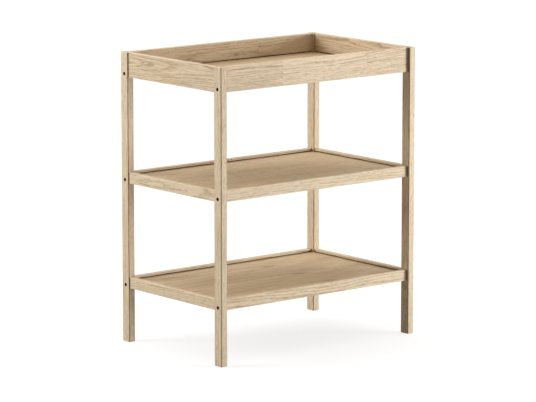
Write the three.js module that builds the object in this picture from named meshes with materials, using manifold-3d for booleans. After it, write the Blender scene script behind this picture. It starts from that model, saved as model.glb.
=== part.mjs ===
// Open changing table in light oak: four posts carry a raised tray and two shelves below it.
// Millimetres, +Z up. X runs along the long sides, the front is -Y, and the origin is on the
// floor under the middle of the table.
import * as THREE from "three";
import { mergeVertices } from "three/addons/utils/BufferGeometryUtils.js";
import Module from "manifold-3d";

const wasm = await Module();
wasm.setup();

// Overall size
const length = 740;
const depth = 473;
const height = 870;

// Posts
const postWidth = 22; // along X
const postDepth = 33; // along Y
const postEdgeRadius = 2.5;
const footChamfer = 1.5;

// Rails, all centred on the posts' thickness
const railThickness = 15;
const railEdgeRadius = 1.5;
const trayRailHeight = 74;
const shelfRailHeight = 33;
const middleRailBottom = 479.5;
const lowerRailBottom = 163;

// Panels, held in a groove on the inner side of the rails
const panelThickness = 4;
const trayPanelRise = 16.5; // rail underside to panel top
const shelfPanelRise = 23;
const grooveEndRoom = 1; // room past the panel's edge, for it to swell
const grooveHeadroom = 1.6; // open slot above the panel
const notchRoom = 0.8; // between a panel's corner notch and the post in it

// Glued stub tenons of the end rails
const tenonLength = 8;
const tenonShoulder = 5; // above and below the tenon
const tenonCheek = 3; // on each side of the tenon

// Bolts and barrel nuts, which pull the long rails against the posts
const boltRise = 9.8; // rail underside to bolt axis
const shankDiameter = 6;
const shankHoleDiameter = 7;
const headDiameter = 10;
const headHeight = 6;
const headSinkDepth = 8; // counterbore in the post
const socketAcrossFlats = 5;
const socketDepth = 3.5;
const nutSetback = 28; // rail end to nut axis
const nutDiameter = 10;
const nutLength = 8.4; // along Y, centred on the bolt
const shankPastNut = 7; // from the nut's axis to the bolt's tip
const smallChamfer = 0.6; // on bolts, nuts and dowels

// Locating dowels, one over each bolt
const dowelDiameter = 6;
const dowelInPost = 10;
const dowelInRail = 20;
const trayDowelDrop = 19; // rail top to dowel axis
const shelfDowelDrop = 6;

// Clearance between pieces that touch or fit into each other
const gap = 0.3;

// How far a cutting shape runs past the face that it cuts
const cutPast = 1;

// Facets
const arcSteps = 3; // on a quarter of a rounded edge
const roundSides = 16;
const dowelSides = 12;

const oak = new THREE.MeshStandardMaterial({ color: 0xcdb48f, roughness: 0.62, metalness: 0 });
const oakPanel = new THREE.MeshStandardMaterial({ color: 0xc6ab84, roughness: 0.6, metalness: 0 });
const blackSteel = new THREE.MeshStandardMaterial({ color: 0x1b1a19, roughness: 0.45, metalness: 0.8 });
const zincSteel = new THREE.MeshStandardMaterial({ color: 0xa9aaa8, roughness: 0.38, metalness: 0.9 });
const beech = new THREE.MeshStandardMaterial({ color: 0xcfa878, roughness: 0.7, metalness: 0 });

// Places that more than one piece works from, measured from the middle of the table
const postX = (length - postWidth) / 2;
const postY = (depth - postDepth) / 2;
const postInnerX = length / 2 - postWidth;
const postInnerY = depth / 2 - postDepth;
const railInnerX = postX - railThickness / 2;
const railInnerY = postY - railThickness / 2;
const longRailLength = 2 * (postInnerX - gap);
const endRailLength = 2 * (postInnerY - gap);
// A panel's edge enters its groove up to the barrel nuts, which the tray's panel passes over.
const panelTongue = (railThickness - nutLength) / 2 - gap;
const grooveDepth = panelTongue + grooveEndRoom;

const levels = [
  {
    name: "tray",
    bottom: height - trayRailHeight,
    railHeight: trayRailHeight,
    panelRise: trayPanelRise,
    dowelDrop: trayDowelDrop,
  },
  {
    name: "middle",
    bottom: middleRailBottom,
    railHeight: shelfRailHeight,
    panelRise: shelfPanelRise,
    dowelDrop: shelfDowelDrop,
  },
  {
    name: "lower",
    bottom: lowerRailBottom,
    railHeight: shelfRailHeight,
    panelRise: shelfPanelRise,
    dowelDrop: shelfDowelDrop,
  },
];
for (const level of levels) {
  level.dowelRise = level.railHeight - level.dowelDrop;
  level.boltZ = level.bottom + boltRise;
  level.dowelZ = level.bottom + level.dowelRise;
}

const corners = [
  { name: "front_left", sideX: -1, sideY: -1 },
  { name: "front_right", sideX: 1, sideY: -1 },
  { name: "rear_left", sideX: -1, sideY: 1 },
  { name: "rear_right", sideX: 1, sideY: 1 },
];

const table = new THREE.Group();

function addMesh(name, geometry, material) {
  const mesh = new THREE.Mesh(geometry, material);
  mesh.name = name;
  table.add(mesh);
  return mesh;
}

// A closed geometry as a solid that can be joined and cut.
function solidOf(geometry) {
  const bare = geometry.clone();
  bare.deleteAttribute("normal");
  bare.deleteAttribute("uv");
  const merged = mergeVertices(bare, 1e-4);
  return new wasm.Manifold(
    new wasm.Mesh({
      numProp: 3,
      vertProperties: new Float32Array(merged.getAttribute("position").array),
      triVerts: new Uint32Array(merged.index.array),
    }),
  );
}

function geometryOf(solid) {
  const mesh = solid.getMesh();
  const geometry = new THREE.BufferGeometry();
  geometry.setAttribute("position", new THREE.BufferAttribute(mesh.vertProperties, 3));
  geometry.setIndex(new THREE.BufferAttribute(mesh.triVerts, 1));
  geometry.computeVertexNormals();
  return geometry;
}

function box(sizeX, sizeY, sizeZ, x, y, z) {
  return new THREE.BoxGeometry(sizeX, sizeY, sizeZ).translate(x, y, z);
}

// A round bar along X between two places on that axis.
function barAlongX(diameter, fromX, toX, y, z, sides = roundSides) {
  const bar = new THREE.CylinderGeometry(diameter / 2, diameter / 2, Math.abs(toX - fromX), sides);
  return bar.rotateZ(Math.PI / 2).translate((fromX + toX) / 2, y, z);
}

// A round bar along Y between two places on that axis.
function barAlongY(diameter, fromY, toY, x, z, sides = roundSides) {
  const bar = new THREE.CylinderGeometry(diameter / 2, diameter / 2, Math.abs(toY - fromY), sides);
  return bar.translate(x, (fromY + toY) / 2, z);
}

// A rectangle with rounded corners, centred on the shape's origin.
function roundedRectangle(width, tall, radius) {
  const x = width / 2;
  const y = tall / 2;
  const shape = new THREE.Shape();
  shape.moveTo(-x + radius, -y);
  shape.lineTo(x - radius, -y);
  shape.absarc(x - radius, -y + radius, radius, -Math.PI / 2, 0);
  shape.lineTo(x, y - radius);
  shape.absarc(x - radius, y - radius, radius, 0, Math.PI / 2);
  shape.lineTo(-x + radius, y);
  shape.absarc(-x + radius, y - radius, radius, Math.PI / 2, Math.PI);
  shape.lineTo(-x, -y + radius);
  shape.absarc(-x + radius, -y + radius, radius, Math.PI, 1.5 * Math.PI);
  return shape;
}

function subtractAll(solid, cutters) {
  return cutters.reduce((rest, cutter) => rest.subtract(solidOf(cutter)), solid);
}

// Posts: rounded edges, chamfered ends, and at each level a counterbored bolt hole from the
// outer side, a blind dowel hole from the inner side and a mortise for the end rail.
function post(sideX, sideY) {
  const outline = roundedRectangle(
    postWidth - 2 * footChamfer,
    postDepth - 2 * footChamfer,
    postEdgeRadius - footChamfer,
  );
  const bar = new THREE.ExtrudeGeometry(outline, {
    depth: height - 2 * footChamfer,
    bevelEnabled: true,
    bevelThickness: footChamfer,
    bevelSize: footChamfer,
    bevelSegments: 1,
    curveSegments: arcSteps,
  }).translate(sideX * postX, sideY * postY, footChamfer);

  const y = sideY * postY;
  const outerX = (sideX * length) / 2;
  const innerX = sideX * postInnerX;
  const pastOuter = outerX + sideX * cutPast;
  const pastInner = innerX - sideX * cutPast;
  const headSeat = outerX - sideX * headSinkDepth;
  const dowelEnd = innerX + sideX * (dowelInPost + gap);
  const mortiseDepth = tenonLength + gap;
  const cutters = [];
  for (const level of levels) {
    cutters.push(
      barAlongX(shankHoleDiameter, pastInner, pastOuter, y, level.boltZ),
      barAlongX(headDiameter + 2 * gap, headSeat, pastOuter, y, level.boltZ),
      barAlongX(dowelDiameter + 2 * gap, pastInner, dowelEnd, y, level.dowelZ, dowelSides),
      box(
        railThickness - 2 * tenonCheek + 2 * gap,
        mortiseDepth + cutPast,
        level.railHeight - 2 * tenonShoulder + 2 * gap,
        sideX * postX,
        sideY * (postInnerY + (mortiseDepth - cutPast) / 2),
        level.bottom + level.railHeight / 2,
      ),
    );
  }
  return geometryOf(subtractAll(solidOf(bar), cutters));
}

for (const { name, sideX, sideY } of corners) {
  addMesh(`${name}_post`, post(sideX, sideY), oak);
}

// A rail along X with its grooved face towards +Y, its underside at z = 0, and a tenon of the
// given reach at each end.
function railBlank(level, railLength, tenonReach) {
  const section = roundedRectangle(railThickness, level.railHeight, railEdgeRadius);
  const bar = new THREE.ExtrudeGeometry(section, {
    depth: railLength,
    bevelEnabled: false,
    curveSegments: arcSteps,
  });
  bar.rotateX(Math.PI / 2).rotateZ(Math.PI / 2).translate(-railLength / 2, 0, level.railHeight / 2);
  let blank = solidOf(bar);
  if (tenonReach > 0) {
    const tenons = box(
      railLength + 2 * tenonReach,
      railThickness - 2 * tenonCheek,
      level.railHeight - 2 * tenonShoulder,
      0,
      0,
      level.railHeight / 2,
    );
    blank = blank.add(solidOf(tenons));
  }
  const grooveBottom = level.panelRise - panelThickness - gap;
  const grooveTop = level.panelRise + grooveHeadroom;
  const groove = box(
    railLength + 2 * cutPast,
    grooveDepth + cutPast,
    grooveTop - grooveBottom,
    0,
    railThickness / 2 + (cutPast - grooveDepth) / 2,
    (grooveBottom + grooveTop) / 2,
  );
  return blank.subtract(solidOf(groove));
}

// Front and rear rails: at each end a hole for the bolt, a cross hole for the barrel nut and a
// hole for the dowel.
function longRail(level) {
  const cutters = [];
  const nutHoleStart = -nutLength / 2 - gap;
  for (const side of [-1, 1]) {
    const end = (side * longRailLength) / 2;
    const nutX = end - side * nutSetback;
    const boltEnd = nutX - side * (shankPastNut + gap);
    const dowelEnd = end - side * dowelInRail;
    const pastEnd = end + side * cutPast;
    cutters.push(
      barAlongX(shankHoleDiameter, boltEnd, pastEnd, 0, boltRise),
      barAlongY(nutDiameter + 2 * gap, nutHoleStart, railThickness / 2 + cutPast, nutX, boltRise),
      barAlongX(dowelDiameter + 2 * gap, dowelEnd, pastEnd, 0, level.dowelRise, dowelSides),
    );
  }
  return geometryOf(subtractAll(railBlank(level, longRailLength, 0), cutters));
}

// Left and right rails, with a stub tenon at each end that is glued into the posts.
function endRail(level) {
  return geometryOf(railBlank(level, endRailLength, tenonLength));
}

function addRail(name, geometry, x, y, level, turn) {
  const rail = addMesh(name, geometry, oak);
  rail.position.set(x, y, level.bottom);
  rail.rotation.z = turn;
}

for (const level of levels) {
  const longGeometry = longRail(level);
  const endGeometry = endRail(level);
  addRail(`${level.name}_front_rail`, longGeometry, 0, -postY, level, 0);
  addRail(`${level.name}_rear_rail`, longGeometry, 0, postY, level, Math.PI);
  addRail(`${level.name}_left_rail`, endGeometry, -postX, 0, level, -Math.PI / 2);
  addRail(`${level.name}_right_rail`, endGeometry, postX, 0, level, Math.PI / 2);
}

// Panels: a sheet whose edges enter all four grooves, notched round the posts' inner corners.
function panel(level) {
  const edgeX = railInnerX + panelTongue;
  const edgeY = railInnerY + panelTongue;
  const notchX = postInnerX - notchRoom;
  const notchY = postInnerY - notchRoom;
  const outline = new THREE.Shape();
  outline.moveTo(-notchX, -edgeY);
  outline.lineTo(notchX, -edgeY);
  outline.lineTo(notchX, -notchY);
  outline.lineTo(edgeX, -notchY);
  outline.lineTo(edgeX, notchY);
  outline.lineTo(notchX, notchY);
  outline.lineTo(notchX, edgeY);
  outline.lineTo(-notchX, edgeY);
  outline.lineTo(-notchX, notchY);
  outline.lineTo(-edgeX, notchY);
  outline.lineTo(-edgeX, -notchY);
  outline.lineTo(-notchX, -notchY);
  const sheet = new THREE.ExtrudeGeometry(outline, { depth: panelThickness, bevelEnabled: false });
  return sheet.translate(0, 0, level.bottom + level.panelRise - panelThickness);
}

for (const level of levels) {
  addMesh(`${level.name}_panel`, panel(level), oakPanel);
}

// A turned body along +X from the origin, from a half profile of [distance along X, radius].
function turned(profile, sides) {
  const points = profile.map(([along, radius]) => new THREE.Vector2(radius, along));
  return new THREE.LatheGeometry(points, sides).rotateZ(-Math.PI / 2);
}

// Bolt: its head's underside is at x = 0 and its shank runs along +X.
function bolt() {
  const shankLength = postWidth - headSinkDepth + 2 * gap + nutSetback + shankPastNut;
  const head = headDiameter / 2;
  const shank = shankDiameter / 2;
  const c = smallChamfer;
  const body = turned(
    [
      [-headHeight, 0],
      [-headHeight, head - c],
      [-headHeight + c, head],
      [0, head],
      [0, shank],
      [shankLength - c, shank],
      [shankLength, shank - c],
      [shankLength, 0],
    ],
    roundSides,
  );
  const acrossCorners = socketAcrossFlats / Math.cos(Math.PI / 6);
  const socketEnd = -headHeight + socketDepth;
  const socket = barAlongX(acrossCorners, -headHeight - cutPast, socketEnd, 0, 0, 6);
  return geometryOf(subtractAll(solidOf(body), [socket]));
}

// Barrel nut: a short bar along Y with a hole across it for the bolt.
function barrelNut() {
  const bar = barAlongY(nutDiameter, -nutLength / 2, nutLength / 2, 0, 0);
  const hole = barAlongX(shankDiameter + 2 * gap, -nutDiameter, nutDiameter, 0, 0, dowelSides);
  return geometryOf(subtractAll(solidOf(bar), [hole]));
}

// Dowel: chamfered at both ends, its start in the post at x = 0.
function dowel() {
  const dowelLength = dowelInPost + dowelInRail - gap;
  const radius = dowelDiameter / 2;
  const c = smallChamfer;
  return turned(
    [
      [0, 0],
      [0, radius - c],
      [c, radius],
      [dowelLength - c, radius],
      [dowelLength, radius - c],
      [dowelLength, 0],
    ],
    dowelSides,
  );
}

const boltGeometry = bolt();
const nutGeometry = barrelNut();
const dowelGeometry = dowel();

// One bolt, one barrel nut and one dowel where each long rail meets a post. The pieces are made
// for the left side and turned half round for the right.
for (const level of levels) {
  for (const { name, sideX, sideY } of corners) {
    const turn = sideX > 0 ? Math.PI : 0;
    const y = sideY * postY;

    const boltMesh = addMesh(`${level.name}_${name}_bolt`, boltGeometry, blackSteel);
    boltMesh.position.set(sideX * (length / 2 - headSinkDepth + gap), y, level.boltZ);
    boltMesh.rotation.z = turn;

    const nutMesh = addMesh(`${level.name}_${name}_barrel_nut`, nutGeometry, zincSteel);
    nutMesh.position.set(sideX * (longRailLength / 2 - nutSetback), y, level.boltZ);

    const dowelMesh = addMesh(`${level.name}_${name}_dowel`, dowelGeometry, beech);
    dowelMesh.position.set(sideX * (postInnerX + dowelInPost), y, level.dowelZ);
    dowelMesh.rotation.z = turn;
  }
}

export default table;
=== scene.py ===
"""Open changing table in light oak: four posts carry a raised tray and two shelves below it.

Metres, +Z up. X runs along the long sides, the front is -Y, and the origin is on the floor under
the middle of the table.
"""

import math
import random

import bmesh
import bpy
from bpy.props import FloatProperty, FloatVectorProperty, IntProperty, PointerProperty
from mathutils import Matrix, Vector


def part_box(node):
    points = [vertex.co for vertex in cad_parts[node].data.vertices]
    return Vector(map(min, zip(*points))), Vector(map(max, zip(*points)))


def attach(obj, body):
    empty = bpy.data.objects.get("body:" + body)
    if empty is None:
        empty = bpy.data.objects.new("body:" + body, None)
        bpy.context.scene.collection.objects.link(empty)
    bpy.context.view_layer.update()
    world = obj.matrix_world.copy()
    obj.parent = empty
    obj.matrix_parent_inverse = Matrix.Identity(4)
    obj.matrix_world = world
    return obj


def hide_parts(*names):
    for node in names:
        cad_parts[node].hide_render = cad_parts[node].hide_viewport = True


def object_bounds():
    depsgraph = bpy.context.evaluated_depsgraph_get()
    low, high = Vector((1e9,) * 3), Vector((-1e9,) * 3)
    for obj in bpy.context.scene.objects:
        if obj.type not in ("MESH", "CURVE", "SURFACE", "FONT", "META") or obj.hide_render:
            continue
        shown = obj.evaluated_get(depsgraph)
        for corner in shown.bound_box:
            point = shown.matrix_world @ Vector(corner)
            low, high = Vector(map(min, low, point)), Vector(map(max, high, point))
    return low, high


bl_info = {
    "name": "Oak changing table",
    "version": (1, 0, 0),
    "blender": (4, 5, 0),
    "location": "3D View > Sidebar > Changing Table",
    "description": "Builds the oak boards, the panels, the fittings and the studio of a changing table",
    "category": "Add Mesh",
}

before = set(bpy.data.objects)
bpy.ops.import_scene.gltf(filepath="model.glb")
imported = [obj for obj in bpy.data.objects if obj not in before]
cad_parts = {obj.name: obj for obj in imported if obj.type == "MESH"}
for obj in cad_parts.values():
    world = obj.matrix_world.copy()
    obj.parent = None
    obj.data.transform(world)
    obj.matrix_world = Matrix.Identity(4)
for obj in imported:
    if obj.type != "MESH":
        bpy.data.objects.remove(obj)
cad_low, cad_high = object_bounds()

LEVELS = ("tray", "middle", "lower")
CORNERS = ("front_left", "front_right", "rear_left", "rear_right")
ENDS = ("left", "right")
JOINTS = [(level, corner) for level in LEVELS for corner in CORNERS]
INWARD = {
    "front": Vector((0, 1, 0)),
    "rear": Vector((0, -1, 0)),
    "left": Vector((1, 0, 0)),
    "right": Vector((-1, 0, 0)),
}
FINISHES = {
    "oak": "Lacquered Oak",
    "oak_panel": "Oak Veneer",
    "black_steel": "Blackened Steel",
    "zinc_steel": "Zinc Plated Steel",
    "beech": "Dry Beech",
}
X = Vector((1, 0, 0))
Z = Vector((0, 0, 1))
# Lengths closer than this are the same.
TOLERANCE = 1e-5
# How far a cutting tool reaches past the wood, and how deep a hidden face lies at least to be given
# painted shade.
CUT_PAST = 0.002
RECESS_DEPTH = 0.0008
# How dark the painted shade on a post is in the corner beside a rail, and how much of that has gone at
# its edge.
CREASE_DARKNESS = 1.0
CREASE_FADE = 0.9
# The floor lies just under the feet, so that the two surfaces do not coincide.
FLOOR_DROP = 0.0002
HEXAGON = 6
# The camera's sensor in millimetres, and how far the camera sees in metres.
SENSOR_WIDTH = 36
VIEW_REACH = 200
SHARP_ANGLE = math.radians(32)
# Cycles per metre of each noise, along, across and through the piece.
SWAY_SCALE = (1.5, 8, 8)
RIPPLE_SCALE = (20, 60, 60)
PORE_SCALE = (90, 2300, 2300)
RAY_SCALE = (75, 130, 85)
FIBRE_SCALE = (24, 820, 820)
DASH_SCALE = (42, 330, 330)
STREAK_SCALE = (8, 210, 210)
CLOUD_SCALE = (1.3, 12, 12)
WEAR_SCALE = (22, 160, 160)
PLATING_SCALE = (420, 420, 420)
SCRATCH_SCALE = (300, 5200, 5200)
BEECH_FLECK_SCALE = (260, 1500, 1500)
BEECH_CLOUD_SCALE = (30, 240, 240)
BEECH_FIBRE_SCALE = (90, 1800, 1800)
FLOOR_CLOUD_SCALE = (3, 3, 3)
# The part of each noise, from 0 to 1, over which its effect sets in.
PORE_RANGE = (0.56, 0.68)
RAY_RANGE = (0.62, 0.72)
DASH_RANGE = (0.52, 0.66)
STREAK_RANGE = (0.34, 0.68)
WEAR_RANGE = (0.34, 0.62)
SCRATCH_RANGE = (0.58, 0.7)
BEECH_FLECK_RANGE = (0.60, 0.70)
FIBRE_RANGE = (0.35, 0.65)
CLOUD_RANGE = (0.3, 0.7)
# How far streaks and clouds lighten and darken the wood.
STREAK_DEPTH = (-0.28, 0.34)
CLOUD_DEPTH = (-0.16, 0.18)
# Roughness of the lacquered oak, and what early wood, pores and wear change in it.
OAK_ROUGHNESS = 0.58
EARLY_ROUGHNESS = 0.10
PORE_ROUGHNESS = 0.20
WORN_SMOOTHNESS = 0.08
# The heights over which the sky brightens, and the turn over which it darkens.
SKY_RANGE = (0.25, 0.9)
BEHIND_RANGE = (0.0, 0.6)
# The parts of a year in which the early wood ends and begins.
SPRING_RANGE = (0.10, 0.50)
WINTER_RANGE = (0.90, 1.0)
# How far ripples bend the rings in metres, and how much the years differ in width.
RIPPLE_SIZE = 0.0022
YEAR_UNEVENNESS = 2.2
# How far a board, one of its staves and a leaf of veneer may stray in tone.
BOARD_TONE = 0.4
STAVE_TONE = 0.12
LEAF_TONE = 0.25
# The part of the trunk that boards come from, in metres, and how a stave strays from its board.
TRUNK = (0.5, 4.5)
PITH_STRAY = (0.95, 1.1)
LEAN_STRAY = 0.1
# How far each leaf of veneer is shifted along the grain, in metres.
LEAF_SHIFT = 0.004
# The floor paint's darkest clouds, as a share of its colour.
FLOOR_SHADE = 0.985
# A board's distance from the pith in metres, and how far to either side it lies in degrees.
POST_SAWING = (0.085, 60)
RAIL_SAWING = (0.07, 35)
PANEL_SAWING = (0.09, 20)


def maker(kind, **fixed):
    """A function that makes properties of one kind, in metres, watts or radians."""

    def make(name, description, default, **given):
        return kind(name=name, description=description, default=default, **fixed, **given)

    return make


length = maker(FloatProperty, min=0.0, precision=5, subtype="DISTANCE", unit="LENGTH")
position = maker(FloatVectorProperty, precision=4, subtype="XYZ_LENGTH", unit="LENGTH")
rotation = maker(FloatProperty, subtype="ANGLE", unit="ROTATION")
power = maker(FloatProperty, min=0.0, subtype="POWER", unit="POWER")
colour = maker(FloatVectorProperty, min=0.0, max=1.0, subtype="COLOR")
fraction = maker(FloatProperty, min=0.0, max=1.0, subtype="FACTOR")
amount = maker(FloatProperty, min=0.0)
count = maker(IntProperty)


class TimberSettings(bpy.types.PropertyGroup):
    """Sizes of the edges, grooves and joints that are cut in the boards."""

    post_edge_radius: length("Post Edge Radius", "Rounding along a post's four long edges", 0.0025)
    post_end_chamfer: length("Post End Chamfer", "Easing round a post's foot and top", 0.0015)
    rail_edge_radius: length("Rail Edge Radius", "Rounding along a rail's four long edges", 0.0015)
    lip_radius: length("Groove Lip Radius", "Easing of the two lips of a panel groove", 0.0003)
    groove_depth: length("Groove Depth", "How deep a rail is grooved for its panel", 0.004)
    groove_headroom: length("Groove Headroom", "Open slot above the panel in its groove", 0.0028)
    tenon_cheek: length("Tenon Cheek", "Wood taken off each side of a tenon", 0.003)
    tenon_shoulder: length("Tenon Shoulder", "Wood taken off above and below a tenon", 0.005)
    notch_room: length("Notch Room", "Space between a panel's notch and the post in it", 0.0008)
    panel_edge_radius: length("Panel Edge Radius", "Easing of a panel's edges", 0.0003)
    gap: length("Gap", "Clearance between pieces that fit into each other", 0.0003)
    edge_segments: count("Edge Segments", "Steps across a rounded edge", 5, min=2, max=12)


class FittingSettings(bpy.types.PropertyGroup):
    """Sizes of the bolts, barrel nuts and dowels and of the holes for them."""

    head_height: length("Head Height", "Height of a bolt's head", 0.006)
    head_chamfer: length("Head Chamfer", "Chamfer round a bolt's head", 0.0006)
    shank_diameter: length("Shank Diameter", "Outer diameter of a bolt's thread", 0.006)
    shank_hole_diameter: length("Shank Hole", "Diameter of the hole for a bolt's shank", 0.007)
    thread_pitch: length("Thread Pitch", "Distance between a bolt's threads", 0.001)
    thread_depth: length("Thread Depth", "Depth of a bolt's threads", 0.00055)
    thread_length: length("Thread Length", "Threaded end of a bolt's shank", 0.022)
    socket_across_flats: length("Socket Across Flats", "Width of the hexagonal socket", 0.005)
    socket_depth: length("Socket Depth", "Depth of the hexagonal socket", 0.0035)
    seat_gap: length("Seat Gap", "Clearance under a bolt's head", 0.0003)
    rim_chamfer: length("Rim Chamfer", "Easing round the mouth of a hole in wood", 0.00025)
    slot_width: length("Slot Width", "Width of a barrel nut's screwdriver slot", 0.0013)
    slot_depth: length("Slot Depth", "Depth of a barrel nut's screwdriver slot", 0.0014)
    nut_chamfer: length("Nut Chamfer", "Chamfer round a barrel nut's ends", 0.0004)
    dowel_chamfer: length("Dowel Chamfer", "Chamfer at a dowel's ends", 0.0009)
    flute_depth: length("Flute Depth", "Depth of a dowel's glue flutes", 0.0003)
    flutes: count("Flutes", "Glue flutes round a dowel", 14, min=6, max=30)
    round_steps: count("Round Steps", "Sides of a turned surface", 32, min=12, max=96)


class FinishSettings(bpy.types.PropertyGroup):
    """Colours and figure of the wood and the metal."""

    oak_light: colour("Oak Light", "Late wood of the posts and rails", (0.73, 0.58, 0.388))
    oak_dark: colour("Oak Dark", "Early wood of the posts and rails", (0.44, 0.285, 0.15))
    # The panels' colours are partly the veneer's own tone and partly painted shade: darker and warmer
    # than the rails' for the shade and warm bounced light over the panels.
    panel_light: colour("Panel Light", "Late wood of the panels", (0.64, 0.475, 0.285))
    panel_dark: colour("Panel Dark", "Early wood of the panels", (0.385, 0.252, 0.125))
    dash: colour("Dashes", "Clusters of pores that read as short dark strokes", (0.24, 0.15, 0.078))
    pore: colour("Pores", "Open pores of the oak", (0.15, 0.095, 0.052))
    ray: colour("Rays", "Flecks where a ray meets the surface", (0.80, 0.655, 0.475))
    # Painted shade, near black, for the insides of grooves, holes and mortises and for the posts'
    # creases beside the rails.
    recess_shade: colour("Recess", "Raw wood inside the grooves and holes", (0.030, 0.017, 0.009))
    beech_light: colour("Beech Light", "Ground colour of the dowels", (0.62, 0.40, 0.24))
    beech_dark: colour("Beech Dark", "Flecks of the dowels", (0.36, 0.20, 0.10))
    black_oxide: colour("Black Oxide", "Blackened steel of the bolts", (0.006, 0.006, 0.007))
    worn_steel: colour("Worn Steel", "Bare steel on the bolts' edges", (0.016, 0.0155, 0.015))
    zinc: colour("Zinc", "Plating of the barrel nuts", (0.60, 0.61, 0.60))
    zinc_dull: colour("Dull Zinc", "Clouded plating of the barrel nuts", (0.40, 0.41, 0.41))
    ring_spacing: length("Ring Spacing", "Width of one year's growth", 0.0027)
    board_variation: fraction(
        "Board Variation", "How much one board differs in tone from the next", 0.5,
    )
    front_stave_joints: position(
        "Front Stave Joints", "Places along X where the tray's staves meet", (-0.134, 0.186), size=2,
    )
    post_paleness: fraction("Post Paleness", "How much paler the posts are than the rails", 0.7)
    ring_strength: fraction("Ring Strength", "How dark the early wood is", 0.42)
    ground_tone: fraction("Ground Tone", "How dark the plainest wood is", 0.08)
    fibre_strength: fraction("Fibre Strength", "How strongly the fine fibre shows", 0.20)
    dash_strength: fraction("Dash Strength", "How strongly the dashes show", 0.55)
    ray_strength: fraction("Ray Strength", "How strongly the ray flecks show", 0.30)
    pore_strength: fraction("Pore Strength", "How strongly the open pores show", 0.62)
    end_strength: fraction("End Grain Strength", "How much darker the end grain is", 0.45)
    # Rubbed wear and a painted highlight: edges paled towards the ray colour.
    wear_and_highlight_strength: fraction("Wear and Highlight Strength", "How pale a rubbed edge is", 0.85)
    # Painted shade along a post's long edges.
    post_edge_shade_strength: fraction("Post Edge Shade Strength", "How dark a post's long edges are", 0.72)
    # How strongly the painted shade darkens the grooves, holes, mortises and creases.
    recess_shade_strength: fraction("Recess Strength", "How dark the grooves and holes are", 0.95)
    leaf_width: length("Leaf Width", "Width of one leaf of veneer on a panel", 0.144)


class StudioSettings(bpy.types.PropertyGroup):
    """The floor, the lights and the camera."""

    floor_size: length("Floor Size", "Width of the floor", 60.0)
    floor_colour: colour("Floor Colour", "Pale paint of the floor", (0.24, 0.24, 0.24))
    floor_glow: amount(
        "Floor Glow", "Light that the floor itself gives, which thins the shadows", 0.76,
    )
    floor_glow_on_table: fraction(
        "Floor Glow on the Table", "Share of the floor's glow that lights the table", 0.22,
    )
    light_colour: colour("Light Colour", "Colour of the softboxes", (0.94, 0.972, 1.0))
    sky_colour: colour("Sky Colour", "Colour of the room", (1.0, 0.98, 0.94))
    sky_horizon: amount("Sky at the Horizon", "Brightness of the room level with the table", 0.52)
    sky_zenith: amount("Sky Overhead", "Brightness of the room above the table", 1.80)
    sky_behind: fraction("Sky Behind the Camera", "Share of the room's brightness on that side", 0.14)
    left_power: power("Left Softbox", "Power of the softbox high on the left", 110.0)
    right_power: power("Right Softbox", "Power of the softbox low on the right", 214.0)
    left_place: position("Left Place", "Left softbox, from the middle of the table", (-3.3, 2.1, 1.5))
    right_place: position("Right Place", "Right softbox, from the middle", (3.5, -3.2, 0.4))
    softbox_size: length("Softbox Size", "Width and height of a softbox", 1.7)
    azimuth: rotation(
        "Azimuth", "Turn of the view round the table, from the front", math.radians(-39.394),
    )
    elevation: rotation("Elevation", "Angle of the view above the horizon", math.radians(9.931))
    distance: length("Distance", "From the camera to the point that it looks at", 9.7386)
    aim: position(
        "Aim", "Point looked at, from the middle of the table's box", (-0.0041, -0.0013, -0.0205),
    )
    focal_length: FloatProperty(
        name="Focal Length", description="Focal length in millimetres on a 36 mm wide sensor",
        default=219.4, min=1.0, subtype="DISTANCE_CAMERA", unit="CAMERA",
    )


# Shader helpers


def plug(tree, value, socket):
    """Join an output to a socket, or set the socket to a plain value."""
    if isinstance(value, bpy.types.NodeSocket):
        tree.links.new(value, socket)
    elif value is not None:
        socket.default_value = value


def calculate(tree, operation, *values, clamp=False):
    node = tree.nodes.new("ShaderNodeMath")
    node.operation = operation
    node.use_clamp = clamp
    for value, socket in zip(values, node.inputs):
        plug(tree, value, socket)
    return node.outputs[0]


def times(tree, *factors, clamp=False):
    return calculate(tree, "MULTIPLY", *factors, clamp=clamp)


def times_plus(tree, first, second, added):
    return calculate(tree, "MULTIPLY_ADD", first, second, added)


def vector_math(tree, operation, *values):
    node = tree.nodes.new("ShaderNodeVectorMath")
    node.operation = operation
    for value, socket in zip(values, node.inputs):
        plug(tree, value, socket)
    return node.outputs["Value" if operation in ("LENGTH", "DOT_PRODUCT") else "Vector"]


def remap(tree, value, low, high, to_low=0.0, to_high=1.0):
    """Carry a value smoothly from one range to another."""
    node = tree.nodes.new("ShaderNodeMapRange")
    node.interpolation_type = "SMOOTHSTEP"
    for number, socket in zip((value, low, high, to_low, to_high), node.inputs):
        plug(tree, number, socket)
    return node.outputs[0]


def noise(tree, vector, stretch=(1.0, 1.0, 1.0), detail=2.0, roughness=0.5, output="Fac"):
    """Noise that is drawn out by a different scale, in cycles per metre, along each axis."""
    node = tree.nodes.new("ShaderNodeTexNoise")
    plug(tree, vector_math(tree, "MULTIPLY", vector, stretch), node.inputs["Vector"])
    node.inputs["Scale"].default_value = 1.0
    node.inputs["Detail"].default_value = detail
    node.inputs["Roughness"].default_value = roughness
    return node.outputs[output]


def mix(tree, factor, first, second):
    """Mix two colours, given as sockets or as plain red, green and blue."""
    node = tree.nodes.new("ShaderNodeMix")
    node.data_type = "RGBA"
    plug(tree, factor, node.inputs[0])
    for value, socket in ((first, node.inputs[6]), (second, node.inputs[7])):
        is_socket = isinstance(value, bpy.types.NodeSocket)
        plug(tree, value if is_socket else (*value, 1.0), socket)
    return node.outputs[2]


def separate(tree, vector):
    node = tree.nodes.new("ShaderNodeSeparateXYZ")
    plug(tree, vector, node.inputs[0])
    return node.outputs


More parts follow.
